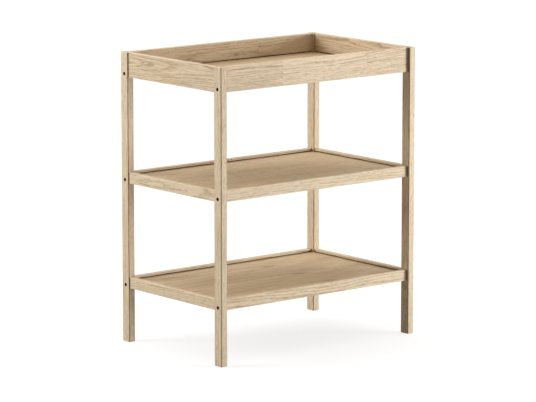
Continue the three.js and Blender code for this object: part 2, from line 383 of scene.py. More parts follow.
def combine(tree, *values):
    node = tree.nodes.new("ShaderNodeCombineXYZ")
    for value, socket in zip(values, node.inputs):
        plug(tree, value, socket)
    return node.outputs[0]


def attribute(tree, name, output="Fac"):
    node = tree.nodes.new("ShaderNodeAttribute")
    node.attribute_name = name
    return node.outputs[output]


def new_group(name, inputs, outputs):
    """An empty node group with its sockets. Inputs are (name, type, default)."""
    tree = bpy.data.node_groups.new(name, "ShaderNodeTree")
    for socket_name, kind, default in inputs:
        socket = tree.interface.new_socket(socket_name, in_out="INPUT", socket_type=kind)
        if default is not None:
            socket.default_value = default
    for socket_name in outputs:
        tree.interface.new_socket(socket_name, in_out="OUTPUT", socket_type="NodeSocketFloat")
    source = tree.nodes.new("NodeGroupInput")
    sink = tree.nodes.new("NodeGroupOutput")
    return tree, source.outputs, sink.inputs


def use_group(tree, name, **values):
    """Place a shared group in a material, with spaces in its socket names as underscores."""
    node = tree.nodes.new("ShaderNodeGroup")
    node.node_tree = bpy.data.node_groups[name]
    for key, value in values.items():
        plug(tree, value, node.inputs[key.replace("_", " ")])
    return node.outputs


def new_material(name, roughness, **constants):
    """A material with one Principled shader, and the plain values of its own sockets."""
    material = bpy.data.materials.new(name)
    material.use_nodes = True
    tree = material.node_tree
    shader = tree.nodes["Principled BSDF"]
    shader.inputs["Roughness"].default_value = roughness
    for key, value in constants.items():
        shader.inputs[key.replace("_", " ")].default_value = value
    return material, tree, shader


def relief(tree, shader, height, strength, distance):
    """Bump the surface by a height from 0 to 1."""
    node = tree.nodes.new("ShaderNodeBump")
    node.inputs["Strength"].default_value = strength
    node.inputs["Distance"].default_value = distance
    plug(tree, height, node.inputs["Height"])
    plug(tree, node.outputs[0], shader.inputs["Normal"])


# Shared node groups


def oak_figure_group():
    """Growth rings round the pith, pores, rays and fibre, from a place in the tree.

    The place is along, across and through the board in metres, measured from the pith.
    """
    tree, given, out = new_group(
        "Oak Figure",
        [
            ("Place", "NodeSocketVector", None),
            ("Ring Spacing", "NodeSocketFloat", 0.0027),
            ("Taper", "NodeSocketFloat", 0.011),
            ("Waviness", "NodeSocketFloat", 0.016),
        ],
        ["Early Wood", "Pores", "Rays", "Fibre", "Dashes", "Streaks", "Clouds"],
    )
    place = given["Place"]

    sway = noise(tree, place, SWAY_SCALE, detail=2, output="Color")
    sway = vector_math(tree, "SUBTRACT", sway, (0.5, 0.5, 0.5))
    ripple = noise(tree, place, RIPPLE_SCALE, detail=2, output="Color")
    ripple = vector_math(tree, "SUBTRACT", ripple, (0.5, 0.5, 0.5))
    sway_size = combine(tree, 0.0, given["Waviness"], given["Waviness"])
    bent = vector_math(tree, "MULTIPLY_ADD", sway, sway_size, place)
    bent = vector_math(tree, "MULTIPLY_ADD", ripple, (0, RIPPLE_SIZE, RIPPLE_SIZE), bent)
    along, across, through = separate(tree, bent)
    from_pith = vector_math(tree, "LENGTH", vector_math(tree, "MULTIPLY", bent, (0, 1, 1)))

    grown = times_plus(tree, along, given["Taper"], from_pith)
    year = calculate(tree, "DIVIDE", grown, given["Ring Spacing"])
    uneven = noise(tree, combine(tree, year, 0.0, 0.0), (0.3, 1, 1), detail=1)
    year = times_plus(tree, uneven, YEAR_UNEVENNESS, year)
    season = calculate(tree, "FRACT", year)
    spring = remap(tree, season, *SPRING_RANGE, 1.0, 0.0)
    turn_of_year = remap(tree, season, *WINTER_RANGE)
    early = calculate(tree, "MAXIMUM", spring, turn_of_year)
    plug(tree, early, out["Early Wood"])

    cells = noise(tree, place, PORE_SCALE, detail=1)
    open_cells = remap(tree, cells, *PORE_RANGE)
    share = times_plus(tree, early, 0.85, 0.15)
    plug(tree, times(tree, open_cells, share), out["Pores"])

    angle = calculate(tree, "ARCTAN2", through, across)
    sheet = combine(tree, along, angle, from_pith)
    plug(tree, remap(tree, noise(tree, sheet, RAY_SCALE, detail=1), *RAY_RANGE), out["Rays"])

    plug(tree, noise(tree, place, FIBRE_SCALE, detail=3, roughness=0.6), out["Fibre"])
    dashes = noise(tree, bent, DASH_SCALE, detail=2, roughness=0.55)
    dashes = remap(tree, dashes, *DASH_RANGE)
    share = times_plus(tree, early, 0.6, 0.4)
    plug(tree, times(tree, dashes, share), out["Dashes"])
    plug(tree, noise(tree, bent, STREAK_SCALE, detail=4, roughness=0.6), out["Streaks"])
    plug(tree, noise(tree, place, CLOUD_SCALE, detail=2), out["Clouds"])


def worn_edge_group():
    """Where a rounded edge has been rubbed, from the edge mask of the piece; on the oak this also
    carries a painted highlight along the edges.
    """
    tree, given, out = new_group(
        "Worn Edge",
        [("Place", "NodeSocketVector", None), ("Edge", "NodeSocketFloat", 0.0)],
        ["Wear"],
    )
    patches = noise(tree, given["Place"], WEAR_SCALE, detail=4, roughness=0.65)
    rubbed = remap(tree, patches, *WEAR_RANGE, 0.25, 1.0)
    plug(tree, times(tree, given["Edge"], rubbed, clamp=True), out["Wear"])


def metal_surface_group():
    """Clouding and fine scratches of plated or blackened steel."""
    tree, given, out = new_group(
        "Metal Surface", [("Place", "NodeSocketVector", None)], ["Clouding", "Scratches"]
    )
    plug(tree, noise(tree, given["Place"], PLATING_SCALE, detail=5), out["Clouding"])
    lines = noise(tree, given["Place"], SCRATCH_SCALE, detail=2)
    plug(tree, remap(tree, lines, *SCRATCH_RANGE), out["Scratches"])


# Materials


def oak_material(name, light, dark, finish):
    """Matt lacquered oak, for solid boards or for leaves of veneer."""
    material, tree, shader = new_material(name, 0.6, Coat_Weight=0.03, Coat_Roughness=0.5)
    place = attribute(tree, "grain", "Vector")
    figure = use_group(tree, "Oak Figure", Place=place, Ring_Spacing=finish.ring_spacing)

    rings = times(tree, figure["Early Wood"], finish.ring_strength)
    streaks = remap(tree, figure["Streaks"], *STREAK_RANGE, *STREAK_DEPTH)
    clouds = remap(tree, figure["Clouds"], *CLOUD_RANGE, *CLOUD_DEPTH)
    depth = calculate(tree, "ADD", calculate(tree, "ADD", rings, streaks), clouds)
    depth = times_plus(tree, attribute(tree, "tone"), finish.board_variation * 0.5, depth)
    body = mix(tree, calculate(tree, "ADD", depth, finish.ground_tone, clamp=True), light, dark)

    edge = attribute(tree, "edge")
    worn = use_group(tree, "Worn Edge", Place=place, Edge=edge)["Wear"]
    for mask, strength, stain in (
        (remap(tree, figure["Fibre"], *FIBRE_RANGE), finish.fibre_strength, dark),
        (figure["Dashes"], finish.dash_strength, finish.dash),
        (figure["Rays"], finish.ray_strength, finish.ray),
        (figure["Pores"], finish.pore_strength, finish.pore),
        (attribute(tree, "end"), finish.end_strength, dark),
        # Worn edges paled towards the ray colour: rubbed wear and a painted highlight along the edges.
        (worn, finish.wear_and_highlight_strength, finish.ray),
        # Painted shade along the posts' long edges, in the dash colour.
        (edge, -finish.post_edge_shade_strength, finish.dash),
        # Painted shade in the grooves, holes, mortises and the posts' creases.
        (attribute(tree, "recess_shade"), finish.recess_shade_strength, finish.recess_shade),
    ):
        body = mix(tree, times(tree, mask, strength), body, stain)
    plug(tree, body, shader.inputs["Base Color"])

    dull = times_plus(tree, figure["Early Wood"], EARLY_ROUGHNESS, OAK_ROUGHNESS)
    dull = times_plus(tree, figure["Pores"], PORE_ROUGHNESS, dull)
    dull = times_plus(tree, worn, -WORN_SMOOTHNESS, dull)
    plug(tree, dull, shader.inputs["Roughness"])

    ridge = times_plus(tree, figure["Fibre"], 0.35, 0.5)
    ridge = times_plus(tree, figure["Pores"], -0.5, ridge)
    relief(tree, shader, ridge, strength=0.35, distance=0.0004)
    return material


def beech_material(name, finish):
    """Dry beech of the dowels, with short dark flecks along the grain."""
    material, tree, shader = new_material(name, 0.72)
    place = attribute(tree, "grain", "Vector")
    flecks = remap(tree, noise(tree, place, BEECH_FLECK_SCALE, detail=1), *BEECH_FLECK_RANGE)
    clouds = noise(tree, place, BEECH_CLOUD_SCALE, detail=3)
    body = mix(tree, remap(tree, clouds, *CLOUD_RANGE, 0.0, 0.4), finish.beech_light, finish.beech_dark)
    body = mix(tree, times(tree, flecks, 0.55), body, finish.beech_dark)
    ends = times(tree, attribute(tree, "end"), 0.4)
    plug(tree, mix(tree, ends, body, finish.beech_dark), shader.inputs["Base Color"])
    plug(tree, remap(tree, clouds, *CLOUD_RANGE, 0.62, 0.80), shader.inputs["Roughness"])
    relief(tree, shader, noise(tree, place, BEECH_FIBRE_SCALE, detail=3), strength=0.4, distance=0.0002)
    return material


def metal_material(name, bright, dull, wear, metallic, roughness):
    """Steel with clouded plating, fine scratches and rubbed edges."""
    material, tree, shader = new_material(name, roughness, Metallic=metallic)
    place = attribute(tree, "grain", "Vector")
    surface = use_group(tree, "Metal Surface", Place=place)
    worn = use_group(tree, "Worn Edge", Place=place, Edge=attribute(tree, "edge"))["Wear"]
    clouding = remap(tree, surface["Clouding"], *CLOUD_RANGE)
    body = mix(tree, clouding, bright, dull)
    marks = times(tree, surface["Scratches"], 0.3)
    marks = calculate(tree, "ADD", marks, worn, clamp=True)
    plug(tree, mix(tree, marks, body, wear), shader.inputs["Base Color"])
    rough = remap(tree, surface["Clouding"], *CLOUD_RANGE, roughness - 0.08, roughness + 0.12)
    plug(tree, rough, shader.inputs["Roughness"])
    relief(tree, shader, surface["Scratches"], strength=0.25, distance=0.00005)
    return material


def floor_material(studio):
    """Smooth pale paint with a faint unevenness, lit from below.

    The glow that reaches the table is weaker than the glow that is seen.
    """
    material, tree, shader = new_material("Pale Floor", 0.8, Emission_Strength=studio.floor_glow)
    seen = tree.nodes.new("ShaderNodeLightPath").outputs["Is Camera Ray"]
    weak = (studio.floor_glow_on_table,) * 3
    plug(tree, mix(tree, seen, weak, (1, 1, 1)), shader.inputs["Emission Color"])
    shader.inputs["Specular IOR Level"].default_value = 0.2
    place = tree.nodes.new("ShaderNodeTexCoord").outputs["Object"]
    clouds = noise(tree, place, FLOOR_CLOUD_SCALE, detail=3)
    darker = [channel * FLOOR_SHADE for channel in studio.floor_colour]
    plug(tree, mix(tree, clouds, studio.floor_colour, darker), shader.inputs["Base Color"])
    plug(tree, remap(tree, clouds, *CLOUD_RANGE, 0.75, 0.85), shader.inputs["Roughness"])
    return material


def material_for(slot):
    """The finish of one of the record's material slots, made the first time it is asked for."""
    finish = bpy.context.scene.table_finish
    name = FINISHES[slot]
    if "Oak Figure" not in bpy.data.node_groups:
        oak_figure_group()
        worn_edge_group()
        metal_surface_group()
    if name in bpy.data.materials:
        return bpy.data.materials[name]
    if slot == "oak":
        return oak_material(name, finish.oak_light, finish.oak_dark, finish)
    if slot == "oak_panel":
        return oak_material(name, finish.panel_light, finish.panel_dark, finish)
    if slot == "beech":
        return beech_material(name, finish)
    if slot == "black_steel":
        black = finish.black_oxide
        return metal_material(name, black, black, finish.worn_steel, metallic=0.9, roughness=0.6)
    return metal_material(
        name, finish.zinc, finish.zinc_dull, finish.zinc, metallic=1.0, roughness=0.36,
    )


# Mesh helpers


def middle(node):
    """The middle of a CAD node's box."""
    low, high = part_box(node)
    return (low + high) / 2


def size(node):
    low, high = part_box(node)
    return high - low


def on_axis(node, x):
    """The place along X on the axis of a CAD node that lies along X."""
    centre = middle(node)
    return Vector((x, centre.y, centre.z))


def block(low, high):
    """A closed box between two corners."""
    bm = bmesh.new()
    bmesh.ops.create_cube(bm, size=1.0)
    bmesh.ops.scale(bm, vec=high - low, verts=bm.verts)
    bmesh.ops.translate(bm, vec=(low + high) / 2, verts=bm.verts)
    return bm


def round_over(bm, edges, radius, segments):
    """Round the edges over, and shade the rounding smooth."""
    rounded = bmesh.ops.bevel(
        bm, geom=edges, offset=radius, offset_type="OFFSET", segments=segments,
        profile=0.5, affect="EDGES", material=-1, clamp_overlap=True,
    )
    for face in rounded["faces"]:
        face.smooth = True


def runs_along(edge, axis):
    run = edge.verts[1].co - edge.verts[0].co
    return run.length > TOLERANCE and abs(run.normalized().dot(axis)) > 0.999


def extrude_outline(points, path):
    """A closed solid from a flat outline and the path that it is drawn along."""
    bm = bmesh.new()
    corners = [bm.verts.new(point) for point in points]
    face = bm.faces.new(corners)
    drawn = bmesh.ops.extrude_face_region(bm, geom=[face])
    moved = [item for item in drawn["geom"] if isinstance(item, bmesh.types.BMVert)]
    bmesh.ops.translate(bm, vec=path, verts=moved)
    bmesh.ops.recalc_face_normals(bm, faces=bm.faces)
    return bm


def turned(profile, origin, direction, steps):
    """A closed solid of revolution, from points of (distance along the axis, radius)."""
    bm = bmesh.new()
    points = [bm.verts.new((along, radius, 0)) for along, radius in profile]
    edges = [bm.edges.new(pair) for pair in zip(points, points[1:])]
    bmesh.ops.spin(
        bm, geom=points + edges, cent=(0, 0, 0), axis=X, dvec=(0, 0, 0),
        angle=2 * math.pi, steps=steps, use_merge=True, use_normal_flip=False,
        use_duplicate=False,
    )
    bmesh.ops.remove_doubles(bm, verts=bm.verts, dist=TOLERANCE / 10)
    bmesh.ops.recalc_face_normals(bm, faces=bm.faces)
    for face in bm.faces:
        face.smooth = True
    turn = X.rotation_difference(direction).to_matrix()
    bmesh.ops.rotate(bm, cent=(0, 0, 0), matrix=turn, verts=bm.verts)
    bmesh.ops.translate(bm, vec=origin, verts=bm.verts)
    return bm


def rod_profile(whole_length, radius, chamfer):
    """A rod's half outline, with a chamfer at both ends."""
    return [
        (0, 0),
        (0, radius - chamfer),
        (chamfer, radius),
        (whole_length - chamfer, radius),
        (whole_length, radius - chamfer),
        (whole_length, 0),
    ]


def bore_profile(start, stop, radius):
    """A plain cylinder's half outline."""
    return [(start, 0), (start, radius), (stop, radius), (stop, 0)]


def joined(parts):
    """Several solids that don't meet, as one bmesh. The parts are used up."""
    mesh = bpy.data.meshes.new("joined")
    whole = bmesh.new()
    for part in parts:
        part.to_mesh(mesh)
        part.free()
        whole.from_mesh(mesh)
    bpy.data.meshes.remove(mesh)
    return whole


def new_object(bm, name, material=None):
    """A linked object of a bmesh, which is used up."""
    mesh = bpy.data.meshes.new(name)
    bm.to_mesh(mesh)
    bm.free()
    if material:
        mesh.materials.append(material)
    made = bpy.data.objects.new(name, mesh)
    bpy.context.scene.collection.objects.link(made)
    return made


def cut_away(bm, *tools):
    """The solid with each closed tool cut out of it. All of them are used up."""
    whole = new_object(bm, "whole")
    used = [whole]
    for tool in tools:
        used.append(new_object(tool, "tool"))
        modifier = whole.modifiers.new("Cut", "BOOLEAN")
        modifier.operation = "DIFFERENCE"
        modifier.solver = "EXACT"
        modifier.object = used[-1]
    bpy.context.view_layer.update()
    depsgraph = bpy.context.evaluated_depsgraph_get()
    mesh = bpy.data.meshes.new_from_object(whole.evaluated_get(depsgraph))
    result = bmesh.new()
    result.from_mesh(mesh)
    bpy.data.meshes.remove(mesh)
    for made in used:
        old = made.data
        bpy.data.objects.remove(made)
        bpy.data.meshes.remove(old)
    bmesh.ops.remove_doubles(result, verts=result.verts, dist=TOLERANCE / 10)
    return result


def split_across(bm, centre, axis, places):
    """Divide every face at planes across an axis."""
    for place in places:
        everything = list(bm.verts) + list(bm.edges) + list(bm.faces)
        bmesh.ops.bisect_plane(
            bm, geom=everything, dist=TOLERANCE, plane_co=centre + axis * place, plane_no=axis,
        )


def tidy_faces(bm):
    """Make the long faces triangles, mark the sharp edges and point every face outwards."""
    crowded = [face for face in bm.faces if len(face.verts) > 4]
    bmesh.ops.triangulate(bm, faces=crowded)
    bmesh.ops.recalc_face_normals(bm, faces=bm.faces)
    for edge in bm.edges:
        edge.smooth = edge.calc_face_angle(0.0) < SHARP_ANGLE


class Timber:
    """How a board lies in the tree that it was sawn from."""

    def __init__(self, node, along, through):
        low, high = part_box(node)
        self.centre = (low + high) / 2
        self.along = along
        self.through = through
        self.across = through.cross(along)
        self.extent = Vector([abs((high - low).dot(axis)) / 2 for axis in self.axes()])
        self.draws = random.Random(node)
        self.tone = self.draws.uniform(-BOARD_TONE, BOARD_TONE)
        self.lean = self.draws.uniform(-1.0, 1.0)

    def axes(self):
        return (self.along, self.across, self.through)

    def place(self, point):
        offset = point - self.centre
        return Vector([offset.dot(axis) for axis in self.axes()])

    def stave(self, pith_distance, pith_spread):
        """One stave's own place in the tree, and its tone. The pith lies below its face."""
        lean = math.radians(pith_spread) * (self.lean + self.draws.uniform(-LEAN_STRAY, LEAN_STRAY))
        reach = pith_distance * self.draws.uniform(*PITH_STRAY)
        start = Vector((
            self.draws.uniform(*TRUNK), reach * math.sin(lean), reach * math.cos(lean),
        ))
        return start, self.tone + self.draws.uniform(-STAVE_TONE, STAVE_TONE)


def on_rounding(place, extent, pair, radius):
    """Whether a point lies on the rounding between two of a board's faces."""
    return all(abs(place[i]) - (extent[i] - radius) > TOLERANCE for i in pair)


def mark_layers(bm):
    """The corner layers that every material reads."""
    names = ("tone", "end", "edge", "recess_shade")
    layers = [bm.loops.layers.float.new(name) for name in names]
    return (bm.loops.layers.float_vector.new("grain"), *layers)


def mark_wood(bm, timber, radius, staves, end_radius=0.0, split_axis=0, places=(), arris=1.0):
    """Give every corner its place in the tree, its stave's tone, and its end and edge masks.

    The edge mask is positive where an edge is paled by wear and a painted highlight, and negative where
    it gets painted shade.
    """
    grain, tone, end, edge, recess_shade = mark_layers(bm)
    for face in bm.faces:
        face_place = timber.place(face.calc_center_median())
        depth = min(timber.extent[i] - abs(face_place[i]) for i in (0, 1, 2))
        number = sum(face_place[split_axis] > place for place in places)
        start, stave_tone = staves[number]
        is_end = float(abs(face.normal.dot(timber.along)) > 0.5)
        for loop in face.loops:
            place = timber.place(loop.vert.co)
            loop[grain] = place + start
            loop[tone] = stave_tone
            loop[end] = is_end
            if on_rounding(place, timber.extent, (1, 2), radius):
                loop[edge] = arris
            for pair in ((0, 1), (0, 2)):
                if on_rounding(place, timber.extent, pair, end_radius):
                    loop[edge] = 1.0
            # Faces that lie deep inside the board's box, in grooves, holes and mortises, get painted
            # shade.
            loop[recess_shade] = float(depth > RECESS_DEPTH)


def crease_strips(corner):
    """The strips of a post that stand proud beside the rails' ends.

    Each is a direction that the strip faces, the direction away from the rail, where it
    starts along that direction, and a box.
    """
    front_or_rear, left_or_right = corner.split("_")
    strips = []
    for level in LEVELS:
        for side, other in ((front_or_rear, left_or_right), (left_or_right, front_or_rear)):
            low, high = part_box(f"{corner}_post")
            rail_low, rail_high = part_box(f"{level}_{side}_rail")
            outward = -INWARD[side]
            axis = 0 if outward.x else 1
            if outward[axis] > 0:
                low[axis] = rail_high[axis]
            else:
                high[axis] = rail_low[axis]
            low.z = rail_low.z
            high.z = rail_high.z
            inner = min(low.dot(outward), high.dot(outward))
            strips.append((INWARD[other], outward, inner, low, high))
    return strips


def split_at_creases(bm, strips):
    """Cut a post's faces along the outlines of its strips."""
    origin = Vector((0, 0, 0))
    for _, outward, inner, low, high in strips:
        split_across(bm, origin, outward, [inner])
        split_across(bm, origin, Z, [low.z, high.z])


def shade_creases(bm, strips):
    """Darken each strip with painted shade, darkest towards the rail beside it."""
    recess_shade = bm.loops.layers.float["recess_shade"]
    for facing, outward, inner, low, high in strips:
        width = max(low.dot(outward), high.dot(outward)) - inner
        for face in bm.faces:
            centre = face.calc_center_median()
            within = all(low[i] - TOLERANCE < centre[i] < high[i] + TOLERANCE for i in (0, 1, 2))
            if not within or face.normal.dot(facing) < 0.5:
                continue
            for loop in face.loops:
                away = (loop.vert.co.dot(outward) - inner) / width
                loop[recess_shade] = max(loop[recess_shade], CREASE_DARKNESS * (1 - CREASE_FADE * away))


def mark_turned(bm, centre, axis):
    """Give every corner its place round a turned piece's axis, and its end and edge masks."""
    grain, tone, end, edge, recess_shade = mark_layers(bm)
    turn = axis.rotation_difference(X).to_matrix()
    for face in bm.faces:
        lean = abs(face.normal.dot(axis))
        for loop in face.loops:
            loop[grain] = turn @ (loop.vert.co - centre) + centre
            loop[tone] = 0.0
            loop[end] = float(lean > 0.9)
            loop[edge] = float(0.2 < lean < 0.9)
            loop[recess_shade] = 0.0


def add_piece(bm, name, node, slot):
    """Turn the bmesh into the object that stands for a CAD node."""
    piece = new_object(bm, name, material_for(slot))
    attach(piece, "root")
    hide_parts(node)
    return piece


def add_fitting(bm, name, node, axis, slot):
    """Turn a fitting's bmesh into the object that stands for a CAD node."""
    tidy_faces(bm)
    mark_turned(bm, middle(node), axis)
    add_piece(bm, name, node, slot)


# Cutting tools for the wood


def hole_tool(mouth, direction, fittings, *steps):
    """A drill for a round hole with an eased mouth, from steps of (depth, radius)."""
    start = fittings.rim_chamfer
    profile = [(-CUT_PAST, 0), (-CUT_PAST, steps[0][1] + start + CUT_PAST)]
    for depth, radius in steps:
        profile += [(start, radius), (depth, radius)]
        start = depth
    profile.append((start, 0))
    return turned(profile, mouth, direction, fittings.round_steps)


def bolt_direction(corner):
    """The way that a corner's bolt is driven, towards the middle of the table."""
    return X if corner.endswith("left") else -X


def outermost(node, direction):
    """Where a direction along X enters a CAD node's box."""
    low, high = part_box(node)
    return low.x if direction.x > 0 else high.x


def post_bolt_tool(level, corner, fittings, gap):
    """A stepped drill for a bolt: a counterbore for its head, then a hole for its shank."""
    post = f"{corner}_post"
    bolt = f"{level}_{corner}_bolt"
    inward = bolt_direction(corner)
    outer = outermost(post, inward)
    head_drop = abs(outermost(bolt, inward) - outer)
    sink = head_drop + fittings.head_height + fittings.seat_gap
    head_hole = (sink, size(bolt).y / 2 + gap)
    shank_hole = (size(post).x + CUT_PAST, fittings.shank_hole_diameter / 2)
    return hole_tool(on_axis(bolt, outer), inward, fittings, head_hole, shank_hole)


def post_dowel_tool(level, corner, fittings, gap):
    """A drill for the blind hole that holds a dowel's outer end."""
    dowel = f"{level}_{corner}_dowel"
    outward = -bolt_direction(corner)
    inner = outermost(f"{corner}_post", outward)
    depth = abs(outermost(dowel, -outward) - inner) + gap
    mouth = on_axis(dowel, inner)
    return hole_tool(mouth, outward, fittings, (depth, size(dowel).y / 2 + gap))


def mortise_tool(level, corner, sizes):
    """A chisel for the mortise that an end rail's tenon enters."""
    gap = sizes.gap
    rail = f"{level}_{'left' if corner.endswith('left') else 'right'}_rail"
    rail_low, rail_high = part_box(rail)
    post_low, post_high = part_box(f"{corner}_post")
    cheek = Vector((sizes.tenon_cheek - gap, 0, sizes.tenon_shoulder - gap))
    low = rail_low + cheek
    high = rail_high - cheek
    if corner.startswith("front"):
        low.y = rail_low.y - gap
        high.y = post_high.y + CUT_PAST
    else:
        low.y = post_low.y - CUT_PAST
        high.y = rail_high.y + gap
    return block(low, high)


def rail_end_tools(level, side, fittings, gap):
    """Drills for the bolt and dowel holes in a long rail's two ends."""
    tools = []
    for end in ENDS:
        corner = f"{side}_{end}"
        inward = bolt_direction(corner)
        face = outermost(f"{level}_{side}_rail", inward)
        bolt = f"{level}_{corner}_bolt"
        dowel = f"{level}_{corner}_dowel"
        for node, radius in (
            (bolt, fittings.shank_hole_diameter / 2),
            (dowel, size(dowel).y / 2 + gap),
        ):
            depth = abs(outermost(node, -inward) - face) + gap
            mouth = on_axis(node, face)
            tools.append(hole_tool(mouth, inward, fittings, (depth, radius)))
    return joined(tools)


def nut_tools(level, side, fittings, gap):
    """Drills for the barrel nut holes, from a long rail's inner face."""
    tools = []
    inward = INWARD[side]
    rail_middle = middle(f"{level}_{side}_rail")
    half_thickness = size(f"{level}_{side}_rail").y / 2
    for end in ENDS:
        nut = f"{level}_{side}_{end}_barrel_nut"
        mouth = middle(nut)
        mouth.y = rail_middle.y + inward.y * half_thickness
        depth = half_thickness + size(nut).y / 2 + gap
        tools.append(hole_tool(mouth, -inward, fittings, (depth, size(nut).x / 2 + gap)))
    return joined(tools)


def tenon_tools(level, side, sizes):
    """Saws for the cheeks and for the shoulders of an end rail's two tenons."""
    low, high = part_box(f"{level}_{side}_rail")
    cheeks = []
    shoulders = []
    for corner in (f"front_{side}", f"rear_{side}"):
        post_low, post_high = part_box(f"{corner}_post")
        if corner.startswith("front"):
            start = low.y - CUT_PAST
            stop = post_high.y + sizes.gap
        else:
            start = post_low.y - sizes.gap
            stop = high.y + CUT_PAST
        for axis, depth, tools in (
            (0, sizes.tenon_cheek, cheeks),
            (2, sizes.tenon_shoulder, shoulders),
        ):
            for near, far in (
                (low[axis] - CUT_PAST, low[axis] + depth),
                (high[axis] - depth, high[axis] + CUT_PAST),
            ):
                tool_low = Vector((low.x - CUT_PAST, start, low.z - CUT_PAST))
                tool_high = Vector((high.x + CUT_PAST, stop, high.z + CUT_PAST))
                tool_low[axis] = near
                tool_high[axis] = far
                tools.append(block(tool_low, tool_high))
    return joined(cheeks), joined(shoulders)


def grooved_bar(level, side, timber, sizes):
    """A rail's whole bar, with its panel groove, its eased lips and its rounded edges."""
    low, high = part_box(f"{level}_{side}_rail")
    panel_low, panel_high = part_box(f"{level}_panel")
    half = timber.extent.z
    groove_in = half - sizes.groove_depth
    groove_low = panel_low.z - sizes.gap
    groove_high = panel_high.z + sizes.groove_headroom
    section = [
        (-half, low.z), (half, low.z), (half, groove_low), (groove_in, groove_low),
        (groove_in, groove_high), (half, groove_high), (half, high.z), (-half, high.z),
    ]
    start = timber.centre - timber.along * timber.extent.x
    outline = [
        Vector((start.x, start.y, height)) + INWARD[side] * inward for inward, height in section
    ]
    bm = extrude_outline(outline, timber.along * timber.extent.x * 2)

    def edges_at(wanted_inward, wanted_heights):
        return [
            edge for edge in bm.edges
            if runs_along(edge, timber.along)
            and abs(abs((edge.verts[0].co - timber.centre).dot(INWARD[side])) - wanted_inward)
            < TOLERANCE
            and any(abs(edge.verts[0].co.z - height) < TOLERANCE for height in wanted_heights)
        ]

    segments = sizes.edge_segments
    outer_edges = edges_at(half, (low.z, high.z))
    round_over(bm, outer_edges, sizes.rail_edge_radius, segments)
    lips = edges_at(half, (groove_low, groove_high))
    round_over(bm, lips, sizes.lip_radius, 2)
    return bm


def make_rail(level, side, settings, tools, places=()):
    """Make a rail, cut with its tools, in staves that meet at the places along it."""
    node = f"{level}_{side}_rail"
    timber = Timber(node, INWARD[side].cross(Z), -INWARD[side])
    bm = cut_away(grooved_bar(level, side, timber, settings), *tools)
    split_across(bm, timber.centre, timber.along, places)
    tidy_faces(bm)
    staves = [timber.stave(*RAIL_SAWING) for _ in range(len(places) + 1)]
    mark_wood(bm, timber, settings.rail_edge_radius, staves, places=places)
    add_piece(bm, f"{level}_{side}_board", node, "oak")


# Operators


class TABLE_OT_posts(bpy.types.Operator):
    """Make the four posts, with their bolt holes, dowel holes and mortises"""

    bl_idname = "changing_table.posts"
    bl_label = "Posts"

    def execute(self, context):
        settings = context.scene.table_timber
        fittings = context.scene.table_fittings
        for corner in CORNERS:
            node = f"{corner}_post"
            timber = Timber(node, Z, bolt_direction(corner))
            low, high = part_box(node)
            bm = block(low, high)
            upright = [edge for edge in bm.edges if runs_along(edge, Z)]
            round_over(bm, upright, settings.post_edge_radius, settings.edge_segments)
            ends = [
                edge for edge in bm.edges
                if abs(edge.verts[0].co.z - edge.verts[1].co.z) < TOLERANCE
            ]
            round_over(bm, ends, settings.post_end_chamfer, 3)
            gap = settings.gap
            bolts = joined([post_bolt_tool(level, corner, fittings, gap) for level in LEVELS])
            dowels = joined([post_dowel_tool(level, corner, fittings, gap) for level in LEVELS])
            mortises = joined([mortise_tool(level, corner, settings) for level in LEVELS])
            bm = cut_away(bm, bolts, dowels, mortises)
            strips = crease_strips(corner)
            split_at_creases(bm, strips)
            tidy_faces(bm)
            timber.tone -= context.scene.table_finish.post_paleness
            staves = [timber.stave(*POST_SAWING)]
            # A post's long edges are marked -1, for painted shade instead of wear.
            mark_wood(
                bm, timber, settings.post_edge_radius, staves, settings.post_end_chamfer,
                arris=-1.0,
            )
            shade_creases(bm, strips)
            add_piece(bm, f"{corner}_upright", node, "oak")
        return {"FINISHED"}


class TABLE_OT_long_rails(bpy.types.Operator):
    """Make the front and rear rails, drilled for their bolts, barrel nuts and dowels"""

    bl_idname = "changing_table.long_rails"
    bl_label = "Front and Rear Rails"

    def execute(self, context):
        settings = context.scene.table_timber
        fittings = context.scene.table_fittings
        joints = sorted(context.scene.table_finish.front_stave_joints)
        for level in LEVELS:
            for side in ("front", "rear"):
                ends = rail_end_tools(level, side, fittings, settings.gap)
                nuts = nut_tools(level, side, fittings, settings.gap)
                places = joints if level == "tray" else ()
                make_rail(level, side, settings, (ends, nuts), places)
        return {"FINISHED"}


class TABLE_OT_end_rails(bpy.types.Operator):
    """Make the left and right rails, with their stub tenons"""

    bl_idname = "changing_table.end_rails"
    bl_label = "Left and Right Rails"

    def execute(self, context):
        settings = context.scene.table_timber
        for level in LEVELS:
            for side in ENDS:
                make_rail(level, side, settings, tenon_tools(level, side, settings))
        return {"FINISHED"}


